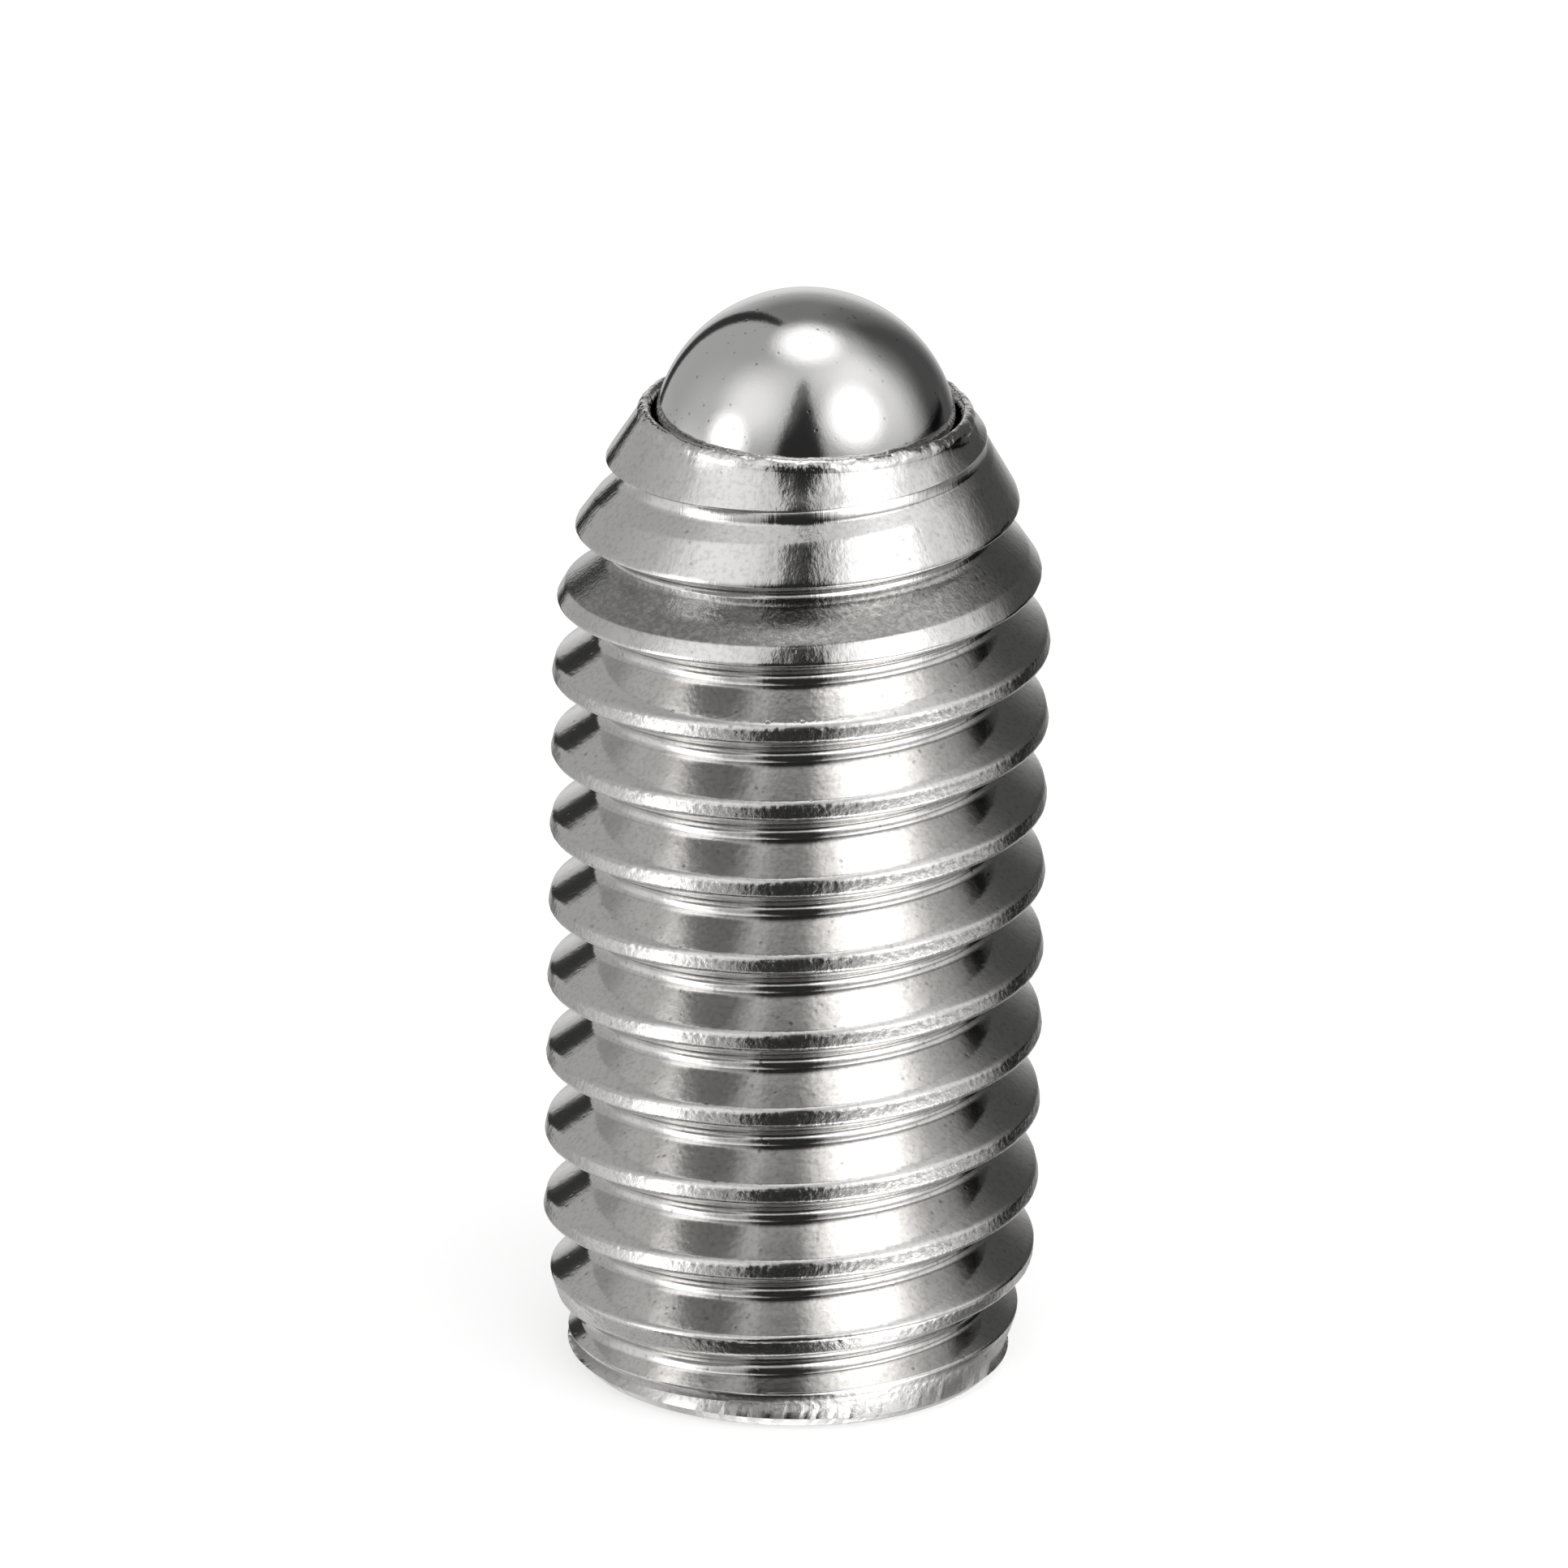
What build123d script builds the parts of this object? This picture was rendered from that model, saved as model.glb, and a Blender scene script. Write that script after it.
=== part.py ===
"""Spring plunger: a threaded body with a hex socket, a helical spring and a captive ball.

Millimetres.  The origin is the centre of the flat socket end, and +Z runs along the thread
towards the ball.  The thread is right-handed.
"""
from build123d import *

import math
import os

# ---- Thread ------------------------------------------------------------------------------
thread_diameter = 4.9       # over the crests
thread_pitch = 0.8
flank_angle = 30.0          # each flank to a plane square to the axis
crest_share = 0.2           # flat crest, as a share of the pitch
root_share = 0.15           # flat root, as a share of the pitch
cut_past_crest = 0.05       # how far the cutting form reaches outside the crests

crest_radius = thread_diameter / 2
crest_flat = crest_share * thread_pitch
root_flat = root_share * thread_pitch
flank_slope = math.tan(math.radians(flank_angle))
thread_depth = (thread_pitch - crest_flat - root_flat) / 2 / flank_slope
root_radius = crest_radius - thread_depth
cut_depth = thread_depth + cut_past_crest
mouth_width = root_flat + 2 * cut_depth * flank_slope

# ---- Ball and the space around it ------------------------------------------------------------
ball_diameter = 3.0
ball_clearance = 0.02       # between the ball and the bore, and under the crimped lip

ball_radius = ball_diameter / 2
bore_radius = ball_radius + ball_clearance

# ---- Turned body, its nose pressed inwards over the ball ----------------------------------------
body_length = 9.92          # socket end to the edge of the crimped lip
nose_height = 2.42          # the nose's curve, from the full thread to the lip's edge
nose_entry_angle = 2.0      # that curve to the axis, where it leaves the crests
groove_run_out_angle = 8.0  # the groove's floor to the axis, on the nose and at the socket end
lip_reach = 0.37            # the lip's height above the ball's centre
lip_bevel_width = 0.19      # the lip's slanted edge, across
lip_bevel_height = 0.12     # and along the axis
bore_depth = 6.62           # lip's edge to the flat floor of the bore
end_bevel = 0.12            # 45 degree edge of the socket end
shallow_turns = 2           # turns of the groove that get deeper from the socket end
lead_in_height = 1.0        # taper of the first turn, from the socket end
lead_in_drop = 0.27         # how far that taper starts below the crests

nose_start_z = body_length - nose_height
ball_centre_z = body_length - lip_reach
bore_floor_z = body_length - bore_depth
lip_radius = math.sqrt(bore_radius ** 2 - lip_reach ** 2)
lip_bevel_z = body_length - lip_bevel_height
lip_outer_radius = lip_radius + lip_bevel_width
lead_in_radius = crest_radius - lead_in_drop
end_face_radius = lead_in_radius - end_bevel

# ---- Hex socket ----------------------------------------------------------------------------------
socket_across_flats = 2.5
socket_depth = 2.0
socket_drill_diameter = 2.4     # hole that the socket is broached into
drill_point_angle = 120.0
socket_mouth_chamfer = 0.06     # past the hexagon's corners

socket_corner_radius = socket_across_flats / 2 / math.cos(math.radians(30))
socket_mouth_radius = socket_corner_radius + socket_mouth_chamfer
drill_point_depth = socket_drill_diameter / 2 / math.tan(math.radians(drill_point_angle / 2))

# ---- Spring ----------------------------------------------------------------------------------------
wire_diameter = 0.45
spring_outer_diameter = 2.7
active_turns = 6
closed_turns = 1                # at each end
closed_turn_gap = 0.02          # between the touching turns at each end
seat_gap = 0.01                 # spring to the bore's floor, and spring to the ball

wire_radius = wire_diameter / 2
coil_radius = spring_outer_diameter / 2 - wire_radius
closed_pitch = wire_diameter + closed_turn_gap
wire_start_z = bore_floor_z + seat_gap + wire_radius
wire_to_ball = ball_radius + seat_gap + wire_radius
wire_end_z = ball_centre_z - math.sqrt(wire_to_ball ** 2 - coil_radius ** 2)
closed_height = closed_turns * closed_pitch
active_height = wire_end_z - wire_start_z - 2 * closed_height

os.makedirs("parts", exist_ok=True)

# ---- Body: turned and bored, crimped over the ball, then broached and threaded ------------------------
with BuildPart() as threaded_body:
    with BuildSketch(Plane.YZ):
        with BuildLine():
            Polyline(
                (0, bore_floor_z),
                (0, 0),
                (end_face_radius, 0),
                (lead_in_radius, end_bevel),
                (crest_radius, lead_in_height),
                (crest_radius, nose_start_z),
            )
            TangentArc(
                (crest_radius, nose_start_z),
                (lip_outer_radius, lip_bevel_z),
                tangent=Vector(0, 1).rotate(Axis.Z, nose_entry_angle),
            )
            Line((lip_outer_radius, lip_bevel_z), (lip_radius, body_length))
            RadiusArc(
                (lip_radius, body_length),
                (bore_radius, ball_centre_z),
                radius=bore_radius,
            )
            Polyline((bore_radius, ball_centre_z), (bore_radius, bore_floor_z), (0, bore_floor_z))
        make_face()
    revolve(axis=Axis.Z)

    with BuildSketch(Plane.XY):
        RegularPolygon(socket_corner_radius, side_count=6)
    extrude(amount=socket_depth, mode=Mode.SUBTRACT)

    with BuildSketch(Plane.YZ):
        with BuildLine():
            Polyline(
                (0, 0),
                (socket_mouth_radius, 0),
                (socket_drill_diameter / 2, socket_mouth_radius - socket_drill_diameter / 2),
                (socket_drill_diameter / 2, socket_depth),
                (0, socket_depth + drill_point_depth),
                close=True,
            )
        make_face()
    revolve(axis=Axis.Z, mode=Mode.SUBTRACT)

    # The groove is cut turn by turn, from below the socket end until it runs out of the nose.
    # It is shallow at the socket end, and on the nose it is drawn inwards with the skin.
    run_out_step = thread_pitch * math.tan(math.radians(groove_run_out_angle))
    groove_radius = root_radius + shallow_turns * run_out_step
    for turn in range(math.ceil(body_length / thread_pitch) + 1):
        groove_z = (turn - 1) * thread_pitch
        slanted = turn < shallow_turns or groove_z >= nose_start_z
        with BuildSketch(Plane.XZ) as groove:
            with BuildLine():
                Polyline(
                    (groove_radius, groove_z - root_flat / 2),
                    (groove_radius + cut_depth, groove_z - mouth_width / 2),
                    (groove_radius + cut_depth, groove_z + mouth_width / 2),
                    (groove_radius, groove_z + root_flat / 2),
                    close=True,
                )
            make_face()
        with BuildLine() as groove_turn:
            Helix(
                thread_pitch,
                thread_pitch,
                groove_radius,
                center=(0, 0, groove_z),
                cone_angle=-groove_run_out_angle if slanted else 0,
            )
        sweep(sections=groove.sketch, path=groove_turn.line, is_frenet=True, mode=Mode.SUBTRACT)
        if slanted:
            groove_radius -= run_out_step

# ---- Ball -----------------------------------------------------------------------------------------------
with BuildPart() as ball:
    with Locations((0, 0, ball_centre_z)):
        Sphere(ball_radius)

# ---- Spring: a closed turn at each end, open turns between ------------------------------------------------
coil_stretches = [
    (wire_start_z, closed_turns, closed_pitch),
    (wire_start_z + closed_height, active_turns, active_height / active_turns),
    (wire_end_z - closed_height, closed_turns, closed_pitch),
]
with BuildPart() as spring:
    for start_z, turns, turn_pitch in coil_stretches:
        with BuildSketch(Plane.XZ) as wire_section:
            with Locations((coil_radius, start_z)):
                Circle(wire_radius)
        with BuildLine() as wire_path:
            Helix(turn_pitch, turns * turn_pitch, coil_radius, center=(0, 0, start_z))
        sweep(sections=wire_section.sketch, path=wire_path.line, is_frenet=True)

for name, piece in [("threaded_body", threaded_body), ("ball", ball), ("spring", spring)]:
    piece.part.label = name
    export_step(piece.part, f"parts/{name}.step")
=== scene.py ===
"""Spring plunger: a threaded steel body with a crimped nose, a captive ball and the spring behind it.

Every size is in metres.  The socket end stands on z = 0 and the ball points up the Z axis.
"""
import math

import bpy
import numpy as np
from bpy.props import FloatProperty, FloatVectorProperty, IntProperty, PointerProperty
from mathutils import Matrix, Vector, noise


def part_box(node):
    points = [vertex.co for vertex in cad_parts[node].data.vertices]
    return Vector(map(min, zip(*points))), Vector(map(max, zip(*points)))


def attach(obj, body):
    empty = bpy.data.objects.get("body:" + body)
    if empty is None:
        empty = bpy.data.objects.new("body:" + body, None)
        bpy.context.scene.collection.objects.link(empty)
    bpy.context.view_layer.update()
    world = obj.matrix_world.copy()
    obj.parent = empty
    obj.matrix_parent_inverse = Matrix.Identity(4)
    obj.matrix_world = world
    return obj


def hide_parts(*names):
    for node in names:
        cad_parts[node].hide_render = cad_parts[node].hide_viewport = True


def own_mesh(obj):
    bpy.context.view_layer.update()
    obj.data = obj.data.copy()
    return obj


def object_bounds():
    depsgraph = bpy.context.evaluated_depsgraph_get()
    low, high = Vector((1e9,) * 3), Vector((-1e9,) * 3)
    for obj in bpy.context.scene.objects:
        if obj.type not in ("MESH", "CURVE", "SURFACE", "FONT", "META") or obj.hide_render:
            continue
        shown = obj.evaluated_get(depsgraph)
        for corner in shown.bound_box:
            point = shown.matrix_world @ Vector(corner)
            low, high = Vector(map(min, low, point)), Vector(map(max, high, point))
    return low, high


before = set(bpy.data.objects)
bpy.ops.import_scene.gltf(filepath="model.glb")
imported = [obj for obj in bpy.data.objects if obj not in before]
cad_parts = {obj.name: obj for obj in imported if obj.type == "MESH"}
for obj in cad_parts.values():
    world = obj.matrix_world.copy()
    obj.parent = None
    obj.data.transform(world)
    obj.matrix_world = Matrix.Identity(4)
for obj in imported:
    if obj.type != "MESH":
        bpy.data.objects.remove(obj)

bl_info = {
    "name": "Spring plunger",
    "version": (1, 0, 0),
    "blender": (4, 5, 0),
    "location": "View3D > Sidebar > Plunger",
    "description": "Builds a spring plunger and a small studio around it",
    "category": "Add Mesh",
}

MM = 0.001
AXIS_SEGMENTS = 240          # around the axis, a multiple of the socket's six sides
ROUND_STEPS = 4              # faces across each rounded corner of the thread
FLAT_ENDS = (0.06, 0.94)     # where each flat stretch of the thread has its two rows
SEAT_STEPS = 5               # faces down the ball's seat
BALL_CUTS = 47               # cuts across each side of the cube that becomes the ball
WIRE_SEGMENTS = 20           # around the wire
COIL_SEGMENTS = 60           # along one turn of the spring
TINY = 1e-7                  # lengths under this are taken as nothing
JOIN_GAP = 2e-6              # vertices nearer than this are one
BODY_SMOOTH = math.radians(48)     # steeper edges of the body stay sharp
WIRE_SMOOTH = math.radians(40)
SOFT_EDGE = 0.012 * MM       # rounding of the socket end's edges
SEAT_DROP = 0.05 * MM        # from the lip's inner edge down to the seat
END_FADE = 0.05 * MM         # burrs fade over this length near both ends
TORN_HEIGHT = 0.525 * MM     # how far down from the nose the torn flank reaches
TORN_FADE = 0.15 * MM        # it comes and goes over this height
NOISE_SHIFT = (17.3, 5.1, 9.7)     # between one seed's noise and the next
FINE_SHARE = 0.6             # height of the finer bumps against the coarser ones
CREST_BUMPS = (7.0, 15.0)    # coarse and fine bumps for each mm
BURR_SWING, BURR_SINK = 0.5, 0.6   # how burrs vary, and how far they lie under the crest
LIP_BUMPS = (6.5, 13.0)
SEAM = 1e-6                  # share of a turn that still counts as the seam
SAME_SHARE = 1e-4            # shares of the pitch nearer than this are the same
CORNER_TRIES = 30            # rounds that find where a flank meets the crest
RIDGE_ACROSS, RIDGE_UP = 0.5, 0.9  # the lip's ridge, as shares of the lip's width and height
INNER_ACROSS, INNER_UP = 0.035 * MM, 0.3   # foot of the ridge's inner slope, past the ball's opening
OUTSIDE_ROWS, OUTSIDE_BEND = (0.3, 0.6, 0.85), 1.4
INSIDE_ROWS, INSIDE_BEND = (0.25, 0.5, 0.75, 1.0), 1.6
LUMP_SIDEWAYS = 0.6          # how far lumps go sideways, against how far they go up
LUMP_FADE = 0.06 * MM        # the lip's lumps grow over this height
LUMP_INSET = 0.05 * MM       # and over this distance from its inner edge
BORE_ROW = 3 * MM            # a ring on the way down the bore
FLOOR_CORNER = 0.05 * MM     # rounding at the bore's floor
FLOOR_KNEE = (0.4, 0.2)      # its middle row, as shares of it
SOFT_KNEE = 0.3              # the same for the socket end's edges
DRILL_TIP = 0.02             # ring at the drill's tip, as a share of the drill
FLOOR_RING = 0.5 * MM        # inner ring on the bore's floor
CAD_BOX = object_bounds()
BODY_LOW, BODY_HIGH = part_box("threaded_body")
BALL_LOW, BALL_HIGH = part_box("ball")
SPRING_LOW, SPRING_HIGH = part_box("spring")
BALL_RADIUS = (BALL_HIGH.z - BALL_LOW.z) / 2
BALL_CENTRE_Z = (BALL_HIGH.z + BALL_LOW.z) / 2


def length(name, description, default):
    """A size that a user may change, in metres."""
    return FloatProperty(name=name, description=description, default=default, min=0, unit="LENGTH",
                         subtype="DISTANCE", precision=6)


def angle(name, description, default):
    """An angle that a user may change, its default given in degrees."""
    return FloatProperty(name=name, description=description, default=math.radians(default),
                         subtype="ANGLE")


def share(name, description, default):
    """A share from 0 to 1."""
    return FloatProperty(name=name, description=description, default=default, min=0, max=1,
                         subtype="FACTOR")


def colour(name, description, default):
    """A linear colour."""
    return FloatVectorProperty(name=name, description=description, default=default, size=3,
                               min=0, max=1, subtype="COLOR")


class PlungerSizes(bpy.types.PropertyGroup):
    """Sizes of the body, the nose, the socket and the spring."""

    pitch: length("Pitch", "Height of one turn of the thread", 0.8 * MM)
    root: length("Root", "Root between its sharp corners, along the axis", 0.12 * MM)
    depth: length("Depth", "Crest to root", 0.45 * MM)
    lower_flank: angle("Lower flank", "The flank that faces the socket end, to a square plane", 27.6)
    upper_flank: angle("Upper flank", "The flank that faces the ball, to a square plane", 35)
    crest_drop: length("Crest slant", "How far a crest's upper edge is below its lower one", 0.035 * MM)
    crest_round: length("Crest rounding", "Rounding on each side of a crest's corner", 0.035 * MM)
    root_round: length("Root rounding", "Fillet on each side of a root's corner", 0.056 * MM)
    nose_height: length("Nose height", "From the full thread to the lip's edge", 2.42 * MM)
    nose_entry: angle("Nose entry", "The nose's curve to the axis where it leaves the crests", 2)
    groove_run_out: angle("Groove run-out", "The groove's floor to the axis at both ends", 8)
    lip_bevel_width: length("Lip width", "Slanted edge of the lip, across", 0.19 * MM)
    lip_bevel_height: length("Lip height", "Slanted edge of the lip, along the axis", 0.12 * MM)
    lip_gap: length("Lip gap", "Gap between the ball and the lip or the bore", 0.02 * MM)
    bore_depth: length("Bore depth", "From the lip's edge to the bore's floor", 6.62 * MM)
    end_bevel: length("End bevel", "Bevel round the socket end", 0.12 * MM)
    lead_in_height: length("Lead-in height", "Height of the taper of the first turn", 1.0 * MM)
    lead_in_drop: length("Lead-in drop", "How far that taper starts below the crests", 0.27 * MM)
    socket_flats: length("Socket", "Width across the socket's flats", 2.5 * MM)
    socket_depth: length("Socket depth", "Depth of the hexagon", 2.0 * MM)
    socket_drill: length("Socket drill", "Diameter of the hole under the hexagon", 2.4 * MM)
    socket_mouth: length("Socket mouth", "Chamfer past the hexagon's corners", 0.06 * MM)
    wire: length("Wire", "Diameter of the spring's wire", 0.45 * MM)
    closed_gap: length("Closed gap", "Gap between the touching turns at the spring's ends", 0.02 * MM)
    active_turns: IntProperty(name="Open turns", description="Open turns of the spring", default=6, min=1)
    crest_burr: length("Crest burr", "Height of the burrs along the crests", 0.007 * MM)
    lip_lump: length("Lip lumps", "Height of the lumps on the crimped lip", 0.014 * MM)


class PlungerFinish(bpy.types.PropertyGroup):
    """Colours and polish of the three steels."""

    body_colour: colour("Body steel", "Colour of the turned body", (0.655, 0.645, 0.634))
    ball_colour: colour("Ball steel", "Colour of the polished ball", (0.66, 0.655, 0.65))
    spring_colour: colour("Spring steel", "Colour of the drawn wire", (0.50, 0.49, 0.48))
    flank_roughness: share("Flank roughness", "Roughness of the flanks", 0.11)
    crest_roughness: share("Crest roughness", "How much rougher the crests are than the flanks", 0.08)
    ball_roughness: share("Ball roughness", "Roughness of the ball", 0.1)


class PlungerStudio(bpy.types.PropertyGroup):
    """Camera, floor and light."""

    elevation: angle("Elevation", "Camera above the horizon", 20.5)
    roll: angle("Roll", "Lean of the picture", 1.1)
    distance: length("Distance", "Camera to the plunger", 0.25)
    view_width: length("View width", "Width seen at the plunger", 15.39 * MM)
    aim_x: FloatProperty(name="Aim across", description="Picture's centre, across", unit="LENGTH",
                         default=-0.145 * MM, precision=6)
    aim_z: length("Aim height", "Picture's centre, above the floor", 5.96 * MM)
    floor_colour: colour("Floor", "Colour of the floor", (0.86, 0.86, 0.86))
    tent_radius: length("Tent radius", "Radius of the light tent", 0.2)
    lamp_power: FloatProperty(name="Lamp power", description="Power of the overhead lamp", default=0.2,
                              min=0, unit="POWER")


# ---- Modelling helpers ---------------------------------------------------------------------------

def start_object(name):
    """Names the primitive that was just added and leaves it in edit mode, selected all over."""
    piece = bpy.context.active_object
    piece.name = name
    piece.data.name = name
    bpy.ops.object.transform_apply(location=True, rotation=True, scale=True)
    bpy.ops.object.mode_set(mode="EDIT")
    bpy.ops.mesh.select_all(action="SELECT")
    return piece


def apply_modifier(piece, kind, **settings):
    """Adds a modifier, sets it and applies it."""
    modifier = piece.modifiers.new(kind.lower(), kind)
    for key, value in settings.items():
        setattr(modifier, key, value)
    bpy.ops.object.modifier_apply(modifier=modifier.name)


def read_points(piece):
    """The mesh's vertices, one row each."""
    points = np.empty(len(piece.data.vertices) * 3)
    piece.data.vertices.foreach_get("co", points)
    return points.reshape(-1, 3)


def write_points(piece, points):
    """Moves the mesh's vertices to these points."""
    piece.data.vertices.foreach_set("co", points.ravel())
    piece.data.update()


def write_mask(piece, name, values):
    """Stores one number for each vertex under a name that the materials read."""
    layer = piece.data.attributes.get(name) or piece.data.attributes.new(name, "FLOAT", "POINT")
    layer.data.foreach_set("value", np.asarray(values, dtype=np.float32))


def polar(points):
    """Radius, height and share of a turn, from 0 to 1."""
    turn = np.arctan2(points[:, 1], points[:, 0]) / (2 * math.pi)
    turn = np.where(turn < -SEAM, turn + 1, np.maximum(turn, 0))
    return np.hypot(points[:, 0], points[:, 1]), points[:, 2], turn


def from_polar(radius, height, turn):
    """Points from their radius, height and share of a turn."""
    around = turn * 2 * math.pi
    return np.stack([radius * np.cos(around), radius * np.sin(around), height], axis=1)


def bumps(points, scale, seed):
    """Smooth noise from about -1 to 1 at each point. Scale is bumps for each millimetre."""
    step = scale / MM
    shift = Vector([seed * move for move in NOISE_SHIFT])
    return np.array([noise.noise(Vector(p) * step + shift) for p in points])


def rough_metal(points, coarse, fine, seed):
    """Bumps of two sizes, the finer ones lower."""
    return bumps(points, coarse, seed) + FINE_SHARE * bumps(points, fine, seed + 1)


def extrude_ring(radius_factor, rise, height):
    """Extrudes the selected ring by rise, to height, and scales it about the axis."""
    bpy.ops.mesh.extrude_region_move(TRANSFORM_OT_translate={"value": (0, 0, rise)})
    bpy.ops.transform.resize(value=(radius_factor, radius_factor, 1), center_override=(0, 0, height))


def close_end():
    """Closes the ring that the last extrusion left selected."""
    bpy.ops.object.mode_set(mode="EDIT")
    bpy.ops.mesh.edge_face_add()
    bpy.ops.object.mode_set(mode="OBJECT")


def lathe(name, outline):
    """Turns an outline of (radius, height) into a skin: a circle, extruded and scaled ring by ring."""
    bpy.ops.object.select_all(action="DESELECT")
    radius, height = outline[0]
    bpy.ops.mesh.primitive_circle_add(vertices=AXIS_SEGMENTS, radius=radius, location=(0, 0, height))
    piece = start_object(name)
    for next_radius, next_height in outline[1:]:
        extrude_ring(next_radius / radius, next_height - height, next_height)
        radius, height = next_radius, next_height
    bpy.ops.object.mode_set(mode="OBJECT")
    return piece


# ---- The body's outline --------------------------------------------------------------------------

class Outline:
    """Radii of the turned body and of its thread, from the sizes and the frame."""

    def __init__(self, sizes):
        self.top = BODY_HIGH.z
        self.crest = (BODY_HIGH.x - BODY_LOW.x) / 2
        self.pitch = sizes.pitch
        self.slopes = {1: math.tan(sizes.lower_flank), -1: math.tan(sizes.upper_flank)}
        self.drops = {1: 0.0, -1: sizes.crest_drop}
        self.root_half = sizes.root / 2
        self.root = self.crest - sizes.depth
        self.bore = BALL_RADIUS + sizes.lip_gap
        reach = self.top - BALL_CENTRE_Z
        self.lip = math.sqrt(self.bore ** 2 - reach ** 2)
        self.lip_outer = self.lip + sizes.lip_bevel_width
        self.lip_bevel_z = self.top - sizes.lip_bevel_height
        self.nose_z = self.top - sizes.nose_height
        self.groove_z = math.ceil(self.nose_z / self.pitch - 1e-6) * self.pitch
        self.groove_slope = math.tan(sizes.groove_run_out)
        self.end_bevel = sizes.end_bevel
        self.lead_in_height = sizes.lead_in_height
        self.lead_in = self.crest - sizes.lead_in_drop
        self.end_face = self.lead_in - sizes.end_bevel
        self.entry = sizes.nose_entry
        across, along = self.crest - self.lip_outer, self.lip_bevel_z - self.nose_z
        half_turn = math.atan2(across, along) - self.entry
        self.nose_arc = math.hypot(across, along) / 2 / math.sin(half_turn)

    def skin(self, z):
        """Radius of the turned body at a height, before the thread is cut."""
        tip = np.clip((z - self.nose_z) / self.nose_arc + math.sin(self.entry), -1, 1)
        nose = self.crest - self.nose_arc * (math.cos(self.entry) - np.sqrt(1 - tip ** 2))
        lead = self.lead_in + (z - self.end_bevel) / (self.lead_in_height - self.end_bevel) * (
            self.crest - self.lead_in)
        bevel = self.end_face + z
        return np.where(z > self.nose_z, nose, np.minimum(self.crest, np.minimum(lead, bevel)))

    def root_at(self, groove_z):
        """Radius of the groove's floor where its middle is at a height."""
        past = np.maximum(0, groove_z - self.groove_z) - np.maximum(0, self.pitch - groove_z)
        return self.root - past * self.groove_slope

    def top_at(self, z, side):
        """Radius of a crest's corner: its upper edge is dropped, except where the nose is pressed smooth."""
        return self.skin(z) - self.drops[side] * np.clip((self.groove_z - z) / self.pitch + 0.5, 0, 1)

    def corner(self, root, z, side):
        """Where the flank that leaves a root's corner meets the crest."""
        slope = self.slopes[side]
        rise = np.maximum(self.top_at(z, side) - root, 0)
        for _ in range(CORNER_TRIES):
            rise = np.maximum(self.top_at(z + side * rise * slope, side) - root, 0)
        return np.minimum(root + rise, self.skin(z)), z + side * rise * slope

    def cut_radius(self, turn, z):
        """Radius of the threaded surface at a share of a turn and a height."""
        middle = (np.round(z / self.pitch - turn) + turn) * self.pitch
        slope = np.where(z > middle, self.slopes[1], self.slopes[-1])
        climb = np.maximum(np.abs(z - middle) - self.root_half, 0) / slope
        return np.minimum(self.skin(z), self.root_at(middle) + climb)


# ---- Threaded body -------------------------------------------------------------------------------

def profile_rows(outline, sizes):
    """The rows across one pitch: shares of the pitch at the sharp corners, how far each corner's rounding
    reaches, and for each row its share, its corner and its place along that corner's rounding."""
    pitch, depth, root_end = outline.pitch, sizes.depth, outline.root_half / outline.pitch
    lower = root_end + depth * outline.slopes[1] / pitch
    upper = 1 - root_end - (depth - sizes.crest_drop) * outline.slopes[-1] / pitch
    knots = [0, root_end, lower, upper, 1 - root_end, 1]
    low_flank, high_flank = math.sin(sizes.lower_flank) / pitch, math.sin(sizes.upper_flank) / pitch
    crest, root = sizes.crest_round, sizes.root_round
    reach = [(root / pitch, root * low_flank), (crest * low_flank, crest / pitch),
             (crest / pitch, crest * high_flank), (root * high_flank, root / pitch)]
    rows = [(0.0, 0, 0.0)]
    for i, (before, after) in enumerate(reach, start=1):
        start, end = knots[i] - before, knots[i] + after
        rows += [(start + (end - start) * part / ROUND_STEPS, i, part / ROUND_STEPS)
                 for part in range(ROUND_STEPS + 1)]
    for i in (1, 3):
        start, end = knots[i] + reach[i - 1][1], knots[i + 1] - reach[i][0]
        rows += [(start + (end - start) * part, 0, 0.0) for part in FLAT_ENDS]
    return knots, reach, sorted(rows) + [(1.0, 0, 0.0)]


def draw_profile(outline, rows):
    """Draws the thread's profile, one pitch high, one vertex after another."""
    bpy.ops.object.select_all(action="DESELECT")
    bpy.ops.mesh.primitive_plane_add(size=MM, location=(0, 0, 0))
    piece = start_object("plunger_body")
    bpy.ops.mesh.merge(type="CENTER")
    shares = np.array([row[0] for row in rows])
    places = list(zip(outline.cut_radius(0.0, (3 + shares) * outline.pitch), shares * outline.pitch))
    bpy.ops.transform.translate(value=(places[0][0], 0, places[0][1] - outline.pitch))
    for (radius, height), (next_radius, next_height) in zip(places, places[1:]):
        bpy.ops.mesh.extrude_region_move(
            TRANSFORM_OT_translate={"value": (next_radius - radius, 0, next_height - height)})
    bpy.ops.object.mode_set(mode="OBJECT")
    return piece


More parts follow.
